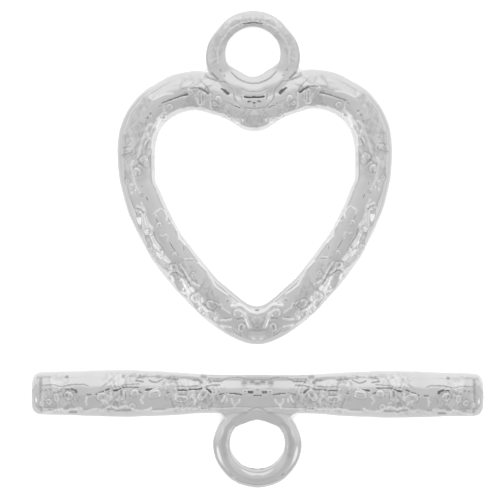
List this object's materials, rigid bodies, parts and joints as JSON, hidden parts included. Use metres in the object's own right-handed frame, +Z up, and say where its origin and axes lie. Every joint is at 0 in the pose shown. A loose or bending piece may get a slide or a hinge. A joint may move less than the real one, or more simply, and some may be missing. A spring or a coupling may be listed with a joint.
{
  "type": "heart toggle clasp",
  "caption": "Two-piece toggle clasp in silver-plated cast metal: a hammered heart-shaped ring with a loop, and a T-bar with a loop that passes through the heart and locks across it.",
  "frame": {"origin": "middle of the box round both pieces, on the surface that they lie on", "axes": "+X to the picture's right along the bar, +Y from the bar to the heart's loop, +Z up from the surface"},
  "size_m": [0.0246, 0.026, 0.0026],
  "materials": {
    "heart_silver": "bright silver plate, polished, over a hammered casting",
    "bar_silver": "bright silver plate, polished, over a hammered casting"
  },
  "bodies": {
    "root": {"heart_ring": "heart_silver", "toggle_bar": "bar_silver"}
  },
  "joints": []
}
